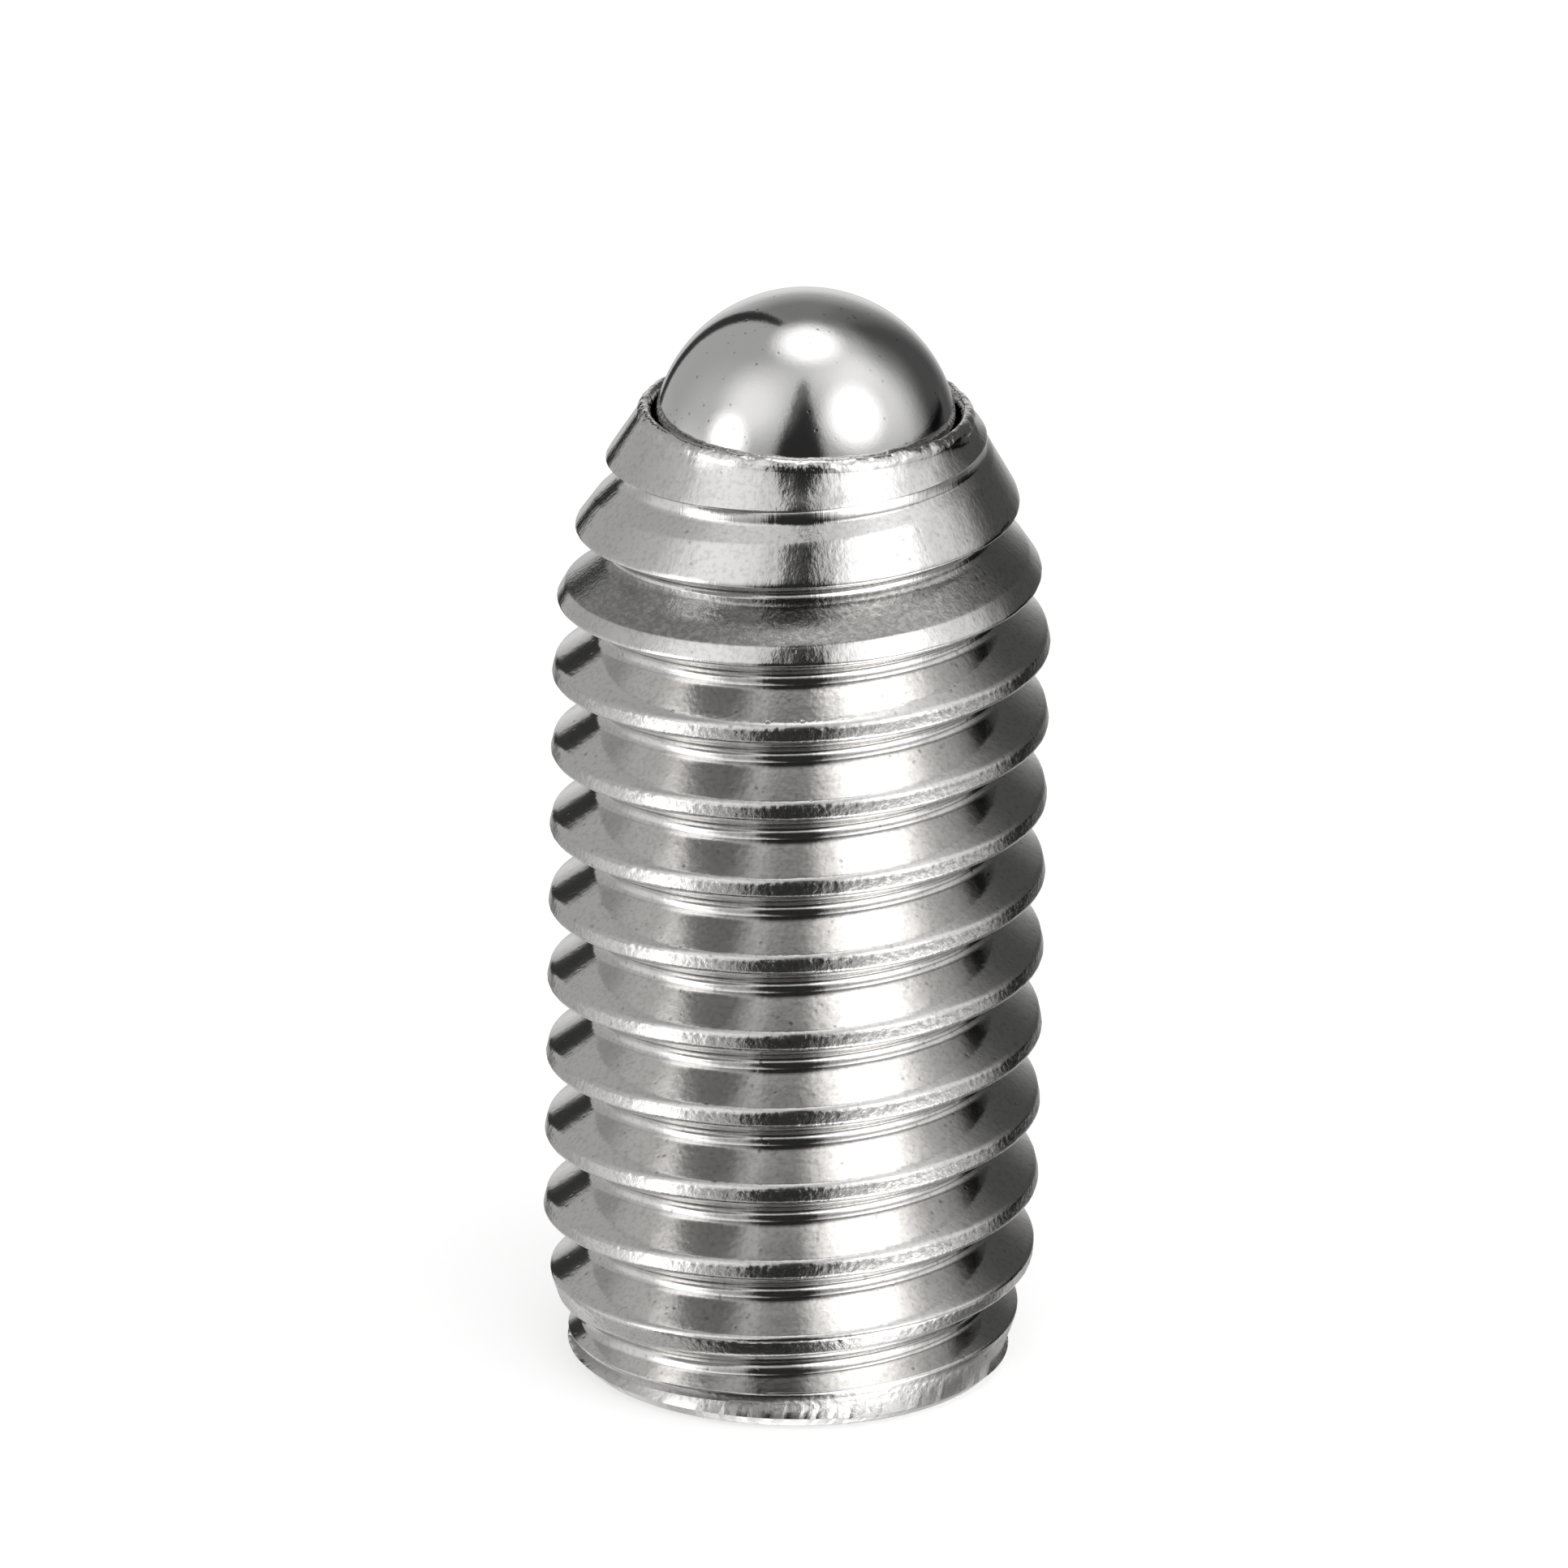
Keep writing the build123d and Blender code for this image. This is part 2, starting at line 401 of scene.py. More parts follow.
def press_and_turn(piece, outline, sizes, knots, reach, rows):
    """Fits the plain thread to the turned ends: the crests end on the skin, the groove is drawn in with the
    nose, corners are rounded, and what is past either end is gathered onto the end's ring."""
    pitch = outline.pitch
    _, height, turn = polar(read_points(piece))
    share = (height / pitch - turn) % 1.0
    share = np.where(share > 1 - SAME_SHARE, 0.0, share)
    shares = np.array([row[0] for row in rows])
    nearest = np.argmin(np.abs(share[:, None] - shares[None, :]), axis=1)
    low = height - share * pitch
    high = low + pitch
    low_root, high_root = outline.root_at(low), outline.root_at(high)
    a_radius, a_height = outline.corner(low_root, low + outline.root_half, 1)
    b_radius, b_height = outline.corner(high_root, high - outline.root_half, -1)
    radii = [low_root, low_root, a_radius, b_radius, high_root, high_root]
    heights = [low, low + outline.root_half, a_height, b_height, high - outline.root_half, high]
    places = [np.stack(pair) for pair in zip(radii, heights)]

    def between(i, part):
        """A place on the sharp profile, part of the way from corner i to the next."""
        return places[i] + (places[i + 1] - places[i]) * part

    def on_lines(at):
        """A place on the sharp profile at one share of the pitch."""
        i = min(sum(at >= knot for knot in knots[1:]), 4)
        return between(i, (at - knots[i]) / (knots[i + 1] - knots[i]))

    found = np.zeros((2, len(height)))
    for row, (at, corner, part) in enumerate(rows):
        if corner:
            before, after = reach[corner - 1]
            start, end = on_lines(knots[corner] - before), on_lines(knots[corner] + after)
            place = (1 - part) ** 2 * start + 2 * part * (1 - part) * places[corner] + part ** 2 * end
        else:
            place = on_lines(at)
        found = np.where(nearest == row, place, found)
    radius, z = np.minimum(found[0], outline.skin(found[1])), found[1]

    crest = np.clip((share - knots[2]) / reach[1][1] + 1, 0, 1)
    crest *= np.clip((knots[3] - share) / reach[2][0], 0, 1)
    edge = np.clip(1 - np.abs(share - knots[3] + reach[2][0]) / reach[2][0], 0, 1)
    under_nose = outline.groove_z - low
    torn = (share > knots[3]) * np.clip((TORN_HEIGHT - under_nose) / TORN_FADE, 0, 1)
    torn *= np.clip(under_nose / TORN_FADE, 0, 1)
    write_mask(piece, "crest", crest)
    write_mask(piece, "edge", edge)
    write_mask(piece, "torn", torn)

    over, under = z > outline.lip_bevel_z, z < outline.end_bevel
    z = np.clip(z, outline.end_bevel, outline.lip_bevel_z)
    radius = np.where(over, outline.lip_outer, radius)
    radius = np.where(under, outline.cut_radius(turn, z), radius)
    points = from_polar(radius, z, turn)
    ends = np.clip((z - outline.end_bevel) / END_FADE, 0, 1)
    ends *= np.clip((outline.lip_bevel_z - z) / END_FADE, 0, 1)
    burrs = sizes.crest_burr * (BURR_SWING * rough_metal(points, *CREST_BUMPS, 1) - BURR_SINK) * crest
    write_points(piece, from_polar(radius + burrs * ends, z, turn))


def make_thread(outline, sizes):
    """The profile, screwed round the axis and then fitted to the turned body."""
    knots, reach, rows = profile_rows(outline, sizes)
    piece = draw_profile(outline, rows)
    apply_modifier(piece, "SCREW", axis="Z", angle=2 * math.pi, screw_offset=outline.pitch,
                   iterations=math.ceil(outline.top / outline.pitch) + 1, steps=AXIS_SEGMENTS,
                   render_steps=AXIS_SEGMENTS, use_merge_vertices=False)
    press_and_turn(piece, outline, sizes, knots, reach, rows)
    return piece


def lip_outline(outline, sizes):
    """The lip's ridge, the slope on its inside, the seat under it, the bore and its floor."""
    ridge = (outline.lip_outer - sizes.lip_bevel_width * RIDGE_ACROSS,
             outline.lip_bevel_z + RIDGE_UP * sizes.lip_bevel_height)
    inner = (outline.lip + INNER_ACROSS, outline.lip_bevel_z + INNER_UP * sizes.lip_bevel_height)
    outer = (outline.lip_outer, outline.lip_bevel_z)
    edge = [outer]
    for part in OUTSIDE_ROWS:
        edge.append((outer[0] + (ridge[0] - outer[0]) * part ** OUTSIDE_BEND,
                     outer[1] + (ridge[1] - outer[1]) * math.sin(part * math.pi / 2)))
    edge.append(ridge)
    for part in INSIDE_ROWS:
        edge.append((ridge[0] + (inner[0] - ridge[0]) * part,
                     ridge[1] + (inner[1] - ridge[1]) * part ** INSIDE_BEND))
    seat_top = inner[1] - BALL_CENTRE_Z - SEAT_DROP
    for step in range(SEAT_STEPS + 1):
        rise = seat_top * (1 - step / SEAT_STEPS)
        edge.append((math.sqrt(outline.bore ** 2 - rise ** 2), BALL_CENTRE_Z + rise))
    floor = outline.top - sizes.bore_depth
    edge += [(outline.bore, outline.top - BORE_ROW), (outline.bore, floor + FLOOR_CORNER)]
    edge += [(outline.bore - FLOOR_KNEE[0] * FLOOR_CORNER, floor + FLOOR_KNEE[1] * FLOOR_CORNER),
             (outline.bore - FLOOR_CORNER, floor)]
    return edge + [(FLOOR_RING, floor)]


def make_lip(outline, sizes):
    """The crimped lip with its lumps, and the bore under it."""
    piece = lathe("lip_and_bore", lip_outline(outline, sizes))
    close_end()
    points = read_points(piece)
    radius, height, turn = polar(points)
    on_lip = np.clip((height - outline.lip_bevel_z) / LUMP_FADE, 0, 1)
    inside = np.clip((radius - outline.lip) / LUMP_INSET, 0, 1)
    lumps = rough_metal(points, *LIP_BUMPS, 4)
    write_points(piece, from_polar(radius + sizes.lip_lump * LUMP_SIDEWAYS * lumps * on_lip * inside,
                                   height + sizes.lip_lump * lumps * on_lip, turn))
    write_mask(piece, "lip", on_lip * (height > outline.lip_bevel_z))
    return piece


def make_socket_end(outline, sizes):
    """The beveled socket end: its first ring meets the thread, and later ones go down the hexagon."""
    flat = sizes.socket_flats / 2
    mouth = flat / math.cos(math.radians(30)) + sizes.socket_mouth
    drill = sizes.socket_drill / 2
    tip = sizes.socket_depth + drill / math.tan(math.radians(60))
    soft, knee = SOFT_EDGE, SOFT_EDGE * SOFT_KNEE
    piece = lathe("socket_end", [
        (outline.lead_in, outline.end_bevel), (outline.end_face + soft, soft),
        (outline.end_face + knee, knee), (outline.end_face - soft, 0),
        (mouth + soft, 0), (mouth, knee), (flat, mouth - flat),
        (flat, sizes.socket_depth), (drill, sizes.socket_depth), (drill * DRILL_TIP, tip)])
    close_end()
    radius, height, turn = polar(read_points(piece))
    hexagon = flat / np.cos(np.radians((turn * 360) % 60 - 30))
    wall = np.abs(radius - flat) < TINY
    at_mouth = wall & (height < sizes.socket_depth / 2)
    radius = np.where(wall, hexagon, radius)
    height = np.where(at_mouth, mouth - hexagon, height)
    outside = radius > outline.end_face - 2 * soft
    radius = np.where(outside, np.minimum(radius, outline.cut_radius(turn, height)), radius)
    write_points(piece, from_polar(radius, height, turn))
    return piece


def make_body(sizes):
    """The whole body as one closed skin: thread, lip and bore, socket end."""
    outline = Outline(sizes)
    lip = make_lip(outline, sizes)
    end = make_socket_end(outline, sizes)
    body = make_thread(outline, sizes)
    bpy.ops.object.select_all(action="DESELECT")
    for piece in (lip, end, body):
        piece.select_set(True)
    bpy.context.view_layer.objects.active = body
    bpy.ops.object.join()
    bpy.ops.object.mode_set(mode="EDIT")
    bpy.ops.mesh.select_all(action="SELECT")
    bpy.ops.mesh.remove_doubles(threshold=JOIN_GAP)
    bpy.ops.mesh.dissolve_degenerate(threshold=TINY)
    bpy.ops.mesh.normals_make_consistent(inside=False)
    bpy.ops.object.mode_set(mode="OBJECT")
    bpy.ops.object.shade_smooth_by_angle(angle=BODY_SMOOTH)
    return body


# ---- Ball and spring -----------------------------------------------------------------------------

def make_ball():
    """A cube, divided and blown up to the ball, so that it has no poles."""
    bpy.ops.object.select_all(action="DESELECT")
    bpy.ops.mesh.primitive_cube_add(size=2 * BALL_RADIUS, location=(0, 0, 0))
    piece = start_object("plunger_ball")
    bpy.ops.mesh.subdivide(number_cuts=BALL_CUTS)
    bpy.ops.object.mode_set(mode="OBJECT")
    points = read_points(piece) / BALL_RADIUS * (math.pi / 4)
    points = np.tan(points)
    points *= BALL_RADIUS / np.linalg.norm(points, axis=1, keepdims=True)
    write_points(piece, points + [0, 0, BALL_CENTRE_Z])
    bpy.ops.object.shade_smooth()
    return piece


def make_spring(sizes):
    """A ring of the wire, screwed round the axis and then drawn to its closed and open turns."""
    wire = sizes.wire / 2
    coil = (SPRING_HIGH.x - SPRING_LOW.x) / 2 - wire
    turns = sizes.active_turns + 2
    step = 4 * sizes.wire            # keeps the screwed turns apart until they are drawn together
    bpy.ops.object.select_all(action="DESELECT")
    bpy.ops.mesh.primitive_circle_add(vertices=WIRE_SEGMENTS, radius=wire, location=(coil, 0, 0),
                                      rotation=(math.radians(90), 0, 0))
    piece = start_object("plunger_spring")
    bpy.ops.object.mode_set(mode="OBJECT")
    apply_modifier(piece, "SCREW", axis="Z", angle=2 * math.pi, screw_offset=step, iterations=turns,
                   steps=COIL_SEGMENTS, render_steps=COIL_SEGMENTS, use_merge_vertices=False)
    radius, height, turn = polar(read_points(piece))
    along = np.round((height - turn * step) / step) + turn
    across = height - along * step
    closed = sizes.wire + sizes.closed_gap
    start, end = SPRING_LOW.z + wire, SPRING_HIGH.z - wire
    line = np.interp(along, [0, 1, turns - 1, turns], [start, start + closed, end - closed, end])
    write_points(piece, from_polar(radius, line + across, turn))
    bpy.ops.object.mode_set(mode="EDIT")
    bpy.ops.mesh.select_all(action="SELECT")
    bpy.ops.mesh.remove_doubles(threshold=JOIN_GAP)
    bpy.ops.mesh.select_all(action="DESELECT")
    bpy.ops.mesh.select_non_manifold()
    bpy.ops.mesh.edge_face_add()
    bpy.ops.mesh.select_all(action="SELECT")
    bpy.ops.mesh.normals_make_consistent(inside=False)
    bpy.ops.object.mode_set(mode="OBJECT")
    bpy.ops.object.shade_smooth_by_angle(angle=WIRE_SMOOTH)
    return piece


# ---- Node helpers --------------------------------------------------------------------------------

def feed(tree, socket, value):
    """Links a socket to another or sets its value."""
    if isinstance(value, bpy.types.NodeSocket):
        tree.links.new(value, socket)
    elif value is not None:
        socket.default_value = value


def calc(tree, operation, first, second=None, third=None):
    """A Math node and its result."""
    node = tree.nodes.new("ShaderNodeMath")
    node.operation = operation
    for socket, value in zip(node.inputs, (first, second, third)):
        feed(tree, socket, value)
    return node.outputs[0]


def times(tree, first, second):
    """The product of two values."""
    return calc(tree, "MULTIPLY", first, second)


def spread(tree, value, low, high, to_low=0.0, to_high=1.0, smooth=True):
    """A Map Range node and its result."""
    node = tree.nodes.new("ShaderNodeMapRange")
    node.interpolation_type = "SMOOTHSTEP" if smooth else "LINEAR"
    for name, number in (("Value", value), ("From Min", low), ("From Max", high),
                         ("To Min", to_low), ("To Max", to_high)):
        feed(tree, node.inputs[name], number)
    return node.outputs[0]


def grain(tree, vector, scale, detail=2.0, roughness=0.5):
    """A Noise Texture node and its value."""
    node = tree.nodes.new("ShaderNodeTexNoise")
    for name, number in (("Vector", vector), ("Scale", scale), ("Detail", detail),
                         ("Roughness", roughness)):
        feed(tree, node.inputs[name], number)
    return node.outputs["Fac"]


def stretched(tree, scale):
    """Object coordinates in millimetres, stretched along each axis."""
    where = tree.nodes.new("ShaderNodeTexCoord")
    mapping = tree.nodes.new("ShaderNodeMapping")
    mapping.inputs["Scale"].default_value = [s / MM for s in scale]
    tree.links.new(where.outputs["Object"], mapping.inputs["Vector"])
    return mapping.outputs["Vector"]


def attribute(tree, name):
    """A mask that the modelling left on the mesh."""
    node = tree.nodes.new("ShaderNodeAttribute")
    node.attribute_name = name
    return node.outputs["Fac"]


def blend_colour(tree, share, first, second):
    """A colour between two."""
    node = tree.nodes.new("ShaderNodeMix")
    node.data_type = "RGBA"
    for name, value in (("Factor_Float", share), ("A_Color", first), ("B_Color", second)):
        socket = next(s for s in node.inputs if s.identifier == name)
        feed(tree, socket, value)
    return next(s for s in node.outputs if s.identifier == "Result_Color")


def new_group(name, inputs, outputs):
    """A shader node group with named number inputs and outputs, and its two end nodes."""
    group = bpy.data.node_groups.new(name, "ShaderNodeTree")
    for key, value in inputs.items():
        socket = group.interface.new_socket(key, in_out="INPUT", socket_type="NodeSocketFloat")
        socket.default_value = value
    for key in outputs:
        group.interface.new_socket(key, in_out="OUTPUT", socket_type="NodeSocketFloat")
    return group, group.nodes.new("NodeGroupInput"), group.nodes.new("NodeGroupOutput")


def use_group(tree, name, **values):
    """Places a group in a material with its own values."""
    node = tree.nodes.new("ShaderNodeGroup")
    node.node_tree = bpy.data.node_groups[name]
    for key, value in values.items():
        feed(tree, node.inputs[key], value)
    return node.outputs


def xyz(tree, where):
    """The three coordinates of a vector."""
    split = tree.nodes.new("ShaderNodeSeparateXYZ")
    tree.links.new(where, split.inputs[0])
    return split.outputs


# ---- Steels --------------------------------------------------------------------------------------

NOSE_SETS_IN = (7.6, 8.0)        # heights in mm, from the plain thread to the pressed nose
FOOT_SETS_IN = (0.9, 0.5)        # heights in mm, from the plain crest to the chipped one at the foot
RING_SCALES = (26.0, 0.7, 26.0)  # turning marks: across the axis, around it and along it, for each mm
STREAK_SCALES = (22, 22, 0.9)    # streaks run along the axis
PIT_EDGE = (0.20, 0.08)          # from the rim of a pit to its floor, as shares of the pits' spacing
PIT_PATCHES = (0.45, 0.58)       # noise values between which the pits set in
PATCH_SCALE = 2.3
PIT_DEPTH = 0.8                  # against the grain's height

# Noise patterns: bumps for each mm, octaves, roughness.
CLOUDY = (3.0, 3.0)
SPECKLE = (20.0, 3.0, 0.6)
BEADS = (17.0, 0.0)
CHIPS = (14.0, 3.0, 0.6)
CRIMPS = (14.0, 1.0)
DUST = (20.0, 2.0)
SCORES = (11.0, 5.0, 0.8)
BALL_CLOUDY = (2.5, 3.0)
SCORE_STRETCH = (1, 1, 2.5)      # scores lie around the axis
HAIRLINE_SCALES = (30, 3, 30)

# What each part adds to the body's roughness, and how deep each layer of its relief is in mm.
CLOUDY_OFFSET = 0.04
BODY_ROUGHNESS = {"cloudy": 0.07, "torn": 0.1, "foot": 0.22, "nose": -0.02}
BODY_RELIEF = {"satin": 0.001, "cloudy": 0.0018, "rings": 0.0003, "speckle": 0.0045, "beads": 0.006,
               "torn": 0.004, "chips": 0.005, "streaks": 0.0023, "crimps": 0.012}
# How dark each stain is, from 0 for clean steel to 1 for its darkest share.
BODY_STAINS = {"pits": 0.5, "worn": 0.35, "dust": 0.25}
WORN_FROM_SPECKLE = (0.55, 0.40)           # noise values from clean to stained
DARK_FROM_SCORES = (0.75, 0.35, 0.5, 1.0)  # noise values, then the stain at each
DARK_FROM_DUST = (0.45, 0.70)
BODY_DARK, BALL_DARK, WIRE_DARK = 0.4, 0.55, 0.6

BALL_CLOUDY_ROUGHNESS = 0.06
BALL_PIT_STAIN = 0.9
BALL_RELIEF = {"satin": 0.0006, "hairlines": 0.0003, "cloudy": 0.0012}
WIRE_ROUGHNESS = 0.3
WIRE_SATIN = 0.2
WIRE_RELIEF = 0.0015


def fine_grain_group():
    """Satin grain: a height and a mask of small dark pits, for any steel."""
    tree, start, end = new_group("fine_grain", {"Grain": 30.0, "Pits": 6.0}, ["Height", "Pits"])
    where = stretched(tree, (1, 1, 1))
    fine = grain(tree, where, start.outputs["Grain"], 3.0, 0.6)
    cells = tree.nodes.new("ShaderNodeTexVoronoi")
    tree.links.new(where, cells.inputs["Vector"])
    tree.links.new(start.outputs["Pits"], cells.inputs["Scale"])
    small = spread(tree, cells.outputs["Distance"], *PIT_EDGE)
    some = spread(tree, grain(tree, where, PATCH_SCALE, 1.0), *PIT_PATCHES)
    pits = times(tree, small, some)
    height = calc(tree, "SUBTRACT", fine, times(tree, pits, PIT_DEPTH))
    tree.links.new(height, end.inputs["Height"])
    tree.links.new(pits, end.inputs["Pits"])


def tool_marks_group():
    """Lines left by tools: rings around the axis, and streaks along it."""
    tree, start, end = new_group("tool_marks", {"Rings": 1.0, "Streaks": 1.0}, ["Rings", "Streaks"])
    x, y, z = xyz(tree, stretched(tree, (1, 1, 1)))
    radius = calc(tree, "SQRT", calc(tree, "ADD", times(tree, x, x), times(tree, y, y)))
    join = tree.nodes.new("ShaderNodeCombineXYZ")
    for socket, value, scale in zip(join.inputs, (radius, x, z), RING_SCALES):
        tree.links.new(times(tree, value, scale), socket)
    rings = grain(tree, join.outputs[0], 1.0, 2.0)
    streaks = grain(tree, stretched(tree, STREAK_SCALES), 1.0, 3.0, 0.6)
    tree.links.new(times(tree, rings, start.outputs["Rings"]), end.inputs["Rings"])
    tree.links.new(times(tree, streaks, start.outputs["Streaks"]), end.inputs["Streaks"])


def new_material(name, colour, roughness):
    """A metal: its tree, its shader and a Bump node that feeds the shader."""
    material = bpy.data.materials.new(name)
    material.use_nodes = True
    tree = material.node_tree
    shader = tree.nodes["Principled BSDF"]
    shader.inputs["Base Color"].default_value = (*colour, 1)
    shader.inputs["Metallic"].default_value = 1
    shader.inputs["Roughness"].default_value = roughness
    bump = tree.nodes.new("ShaderNodeBump")
    bump.inputs["Strength"].default_value = 1
    bump.inputs["Distance"].default_value = MM       # so that heights are in millimetres
    tree.links.new(bump.outputs["Normal"], shader.inputs["Normal"])
    return material, tree, shader, bump


def darkened(tree, colour, share, stain):
    """The steel's own colour, going to a share of it where the stain is 1."""
    return blend_colour(tree, stain, (*colour, 1), (*(share * c for c in colour), 1))


def layers(tree, total, masks, amounts):
    """Adds each mask, times its amount, on top of a first value."""
    for name, amount in amounts.items():
        total = calc(tree, "MULTIPLY_ADD", masks[name], amount, total)
    return total


def body_steel(finish):
    """Rolled and turned stainless steel: bright flanks, speckled crests, a torn flank where the nose was
    pressed, and streaks on the nose."""
    material, tree, shader, bump = new_material("body_steel", finish.body_colour, finish.flank_roughness)
    crest, edge, torn, lip = (attribute(tree, name) for name in ("crest", "edge", "torn", "lip"))
    where = stretched(tree, (1, 1, 1))
    height_mm = xyz(tree, where)[2]
    nose = spread(tree, height_mm, *NOSE_SETS_IN)
    plain = calc(tree, "SUBTRACT", 1.0, nose)
    foot = times(tree, crest, spread(tree, height_mm, *FOOT_SETS_IN))
    plain_crest = times(tree, crest, plain)

    marks = use_group(tree, "tool_marks", Rings=1.0, Streaks=1.0)
    satin = use_group(tree, "fine_grain", Grain=12.0, Pits=7.0)
    cloudy = times(tree, grain(tree, where, *CLOUDY), spread(tree, nose, 0.0, 1.0, 1.0, 0.5))
    speckle = grain(tree, where, *SPECKLE)
    beads = times(tree, times(tree, grain(tree, where, *BEADS), edge), plain)
    chips = times(tree, grain(tree, where, *CHIPS), foot)
    crimps = times(tree, grain(tree, where, *CRIMPS), lip)

    masks = {"cloudy": cloudy, "torn": torn, "foot": foot, "nose": nose}
    rough = finish.flank_roughness - CLOUDY_OFFSET
    rough = calc(tree, "MULTIPLY_ADD", plain_crest, finish.crest_roughness, rough)
    feed(tree, shader.inputs["Roughness"], layers(tree, rough, masks, BODY_ROUGHNESS))

    worn = times(tree, plain_crest, spread(tree, speckle, *WORN_FROM_SPECKLE))
    scored = grain(tree, stretched(tree, SCORE_STRETCH), *SCORES)
    scored = times(tree, torn, spread(tree, scored, *DARK_FROM_SCORES))
    dust = spread(tree, grain(tree, where, *DUST), *DARK_FROM_DUST)
    stain = calc(tree, "MULTIPLY_ADD", satin["Pits"], BODY_STAINS["pits"],
                 times(tree, worn, BODY_STAINS["worn"]))
    stain = calc(tree, "MINIMUM", calc(tree, "ADD", stain, scored), 1.0)
    stain = calc(tree, "MULTIPLY_ADD", dust, BODY_STAINS["dust"], stain)
    feed(tree, shader.inputs["Base Color"], darkened(tree, finish.body_colour, BODY_DARK, stain))

    masks = {"satin": satin["Height"], "cloudy": cloudy, "rings": marks["Rings"],
             "speckle": times(tree, speckle, plain_crest), "beads": beads,
             "torn": times(tree, speckle, torn), "chips": chips,
             "streaks": times(tree, marks["Streaks"], nose), "crimps": crimps}
    feed(tree, bump.inputs["Height"], layers(tree, 0.0, masks, BODY_RELIEF))
    return material


def ball_steel(finish):
    """Ground and polished stainless steel with hairlines and a few pits."""
    material, tree, shader, bump = new_material("ball_steel", finish.ball_colour, finish.ball_roughness)
    satin = use_group(tree, "fine_grain", Grain=18.0, Pits=9.0)
    hairlines = grain(tree, stretched(tree, HAIRLINE_SCALES), 1.0, 2.0)
    cloudy = grain(tree, stretched(tree, (1, 1, 1)), *BALL_CLOUDY)
    rough = calc(tree, "MULTIPLY_ADD", cloudy, BALL_CLOUDY_ROUGHNESS,
                 finish.ball_roughness - BALL_CLOUDY_ROUGHNESS / 2)
    feed(tree, shader.inputs["Roughness"], rough)
    stain = times(tree, satin["Pits"], BALL_PIT_STAIN)
    feed(tree, shader.inputs["Base Color"], darkened(tree, finish.ball_colour, BALL_DARK, stain))
    masks = {"satin": satin["Height"], "hairlines": hairlines, "cloudy": cloudy}
    feed(tree, bump.inputs["Height"], layers(tree, 0.0, masks, BALL_RELIEF))
    return material


def spring_steel(finish):
    """Drawn wire with a fine lengthwise grain."""
    material, tree, shader, bump = new_material("spring_steel", finish.spring_colour, WIRE_ROUGHNESS)
    satin = use_group(tree, "fine_grain", Grain=24.0, Pits=5.0)
    marks = use_group(tree, "tool_marks", Rings=1.0, Streaks=0.0)
    rough = calc(tree, "MULTIPLY_ADD", satin["Height"], WIRE_SATIN, WIRE_SATIN)
    feed(tree, shader.inputs["Roughness"], rough)
    feed(tree, shader.inputs["Base Color"], darkened(tree, finish.spring_colour, WIRE_DARK, satin["Pits"]))
    feed(tree, bump.inputs["Height"], times(tree, marks["Rings"], WIRE_RELIEF))
    return material


def make_groups():
    """Makes the shared groups that aren't there yet."""
    for name, build in (("fine_grain", fine_grain_group), ("tool_marks", tool_marks_group)):
        if name not in bpy.data.node_groups:
            build()


def dress(piece, material, body, node):
    """Gives a piece its steel and its body, and hides the imported part that it replaces."""
    piece.data.materials.clear()
    piece.data.materials.append(material)
    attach(piece, body)
    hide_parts(node)


# ---- Studio --------------------------------------------------------------------------------------

def toward(azimuth, elevation):
    """Unit vector from the plunger: azimuth 0 is towards the camera, and 90 is to its right."""
    a, e = math.radians(azimuth), math.radians(elevation)
    return Vector((math.sin(a) * math.cos(e), -math.cos(a) * math.cos(e), math.sin(e)))


FLOOR_SIZE = 3               # lengths here are in metres
FLOOR_ROUGHNESS = 0.9
FLOOR_GLOW = 0.5             # keeps the floor pale where the lamp leaves it grey
AMBIENT = 0.5                # plain light of the room on the floor, against 1 for the background
LAMP_PLACE = (20, 72)        # azimuth and elevation
LAMP_DISTANCE = 0.3
LAMP_SIZE = 0.22
TENT_GREY = 0.5              # plain cloth
PAINTED_TABLE_GLOW = 0.02            # painted reflection of a polished table, added below the horizon
# Round soft lamps: azimuth, elevation, inner and outer radius in degrees, brightness.
LAMPS = [
    (43, 32, 5, 31, 1.4),        # main lamp, right
    (72, 38, 8, 52, 0.5),        # its glow on the cloth
    (-63, 10, 4, 23, 1.5),       # second lamp, left
    (-50, 40, 6, 38, 0.6),       # its glow above
    (-75, 14, 12, 50, 0.15),     # its glow around
    (180, 82, 7, 25, 1.1),       # overhead lamp
    (60, 74, 8, 45, 0.35),       # its glow
]
# Dark flags: azimuth, elevation, half width, half height, soft edge, taper towards the top, darkness.
FLAGS = [
    (-4, 19, 28, 46, 5, 0.78, 0.94),     # gap round the camera
    (-155, 21, 6.3, 38, 1.2, 0.4, 0.92),  # back left
    (130, 24, 30, 36, 16, 0, 0.82),      # back right
    (180, 46, 24, 18, 10, 0, 0.5),       # behind
    (100, 0, 34, 2.5, 2, 0, 0.9),        # edge of the table, right
]
# Painted pools of light, most of them in the painted reflection of a polished table: azimuth, elevation,
# half width, half height, soft edge, brightness.
PAINTED_POOLS = [
    (50, -34, 22, 30, 12, 0.7),          # under the main lamp
    (42, -33, 24, 12, 18, 1.15),         # its brightest part
    (-88, -22, 24, 24, 12, 0.25),        # under the second lamp
    (4, -38, 24, 8, 10, 0.65),           # in front
    (180, 2, 15, 12, 8, 0.35),           # where the table meets the cloth, behind
    (180, -50, 45, 24, 12, 0.5),         # under the plunger, behind
    (128, -25, 24, 6, 5, 0.28),          # back right
]
# Round painted shadows in the painted reflection of the table: azimuth, elevation, inner and outer radius,
# darkness.
PAINTED_TABLE_SHADOWS = [
    (-14, -66, 16, 30, 0.95),            # painted shadow at the plunger's foot
    (118, -8, 6, 18, 0.85),              # back right, at the edge
    (100, -34, 10, 26, 0.6),             # right
    (-52, -40, 14, 25, 0.75),            # front left
]


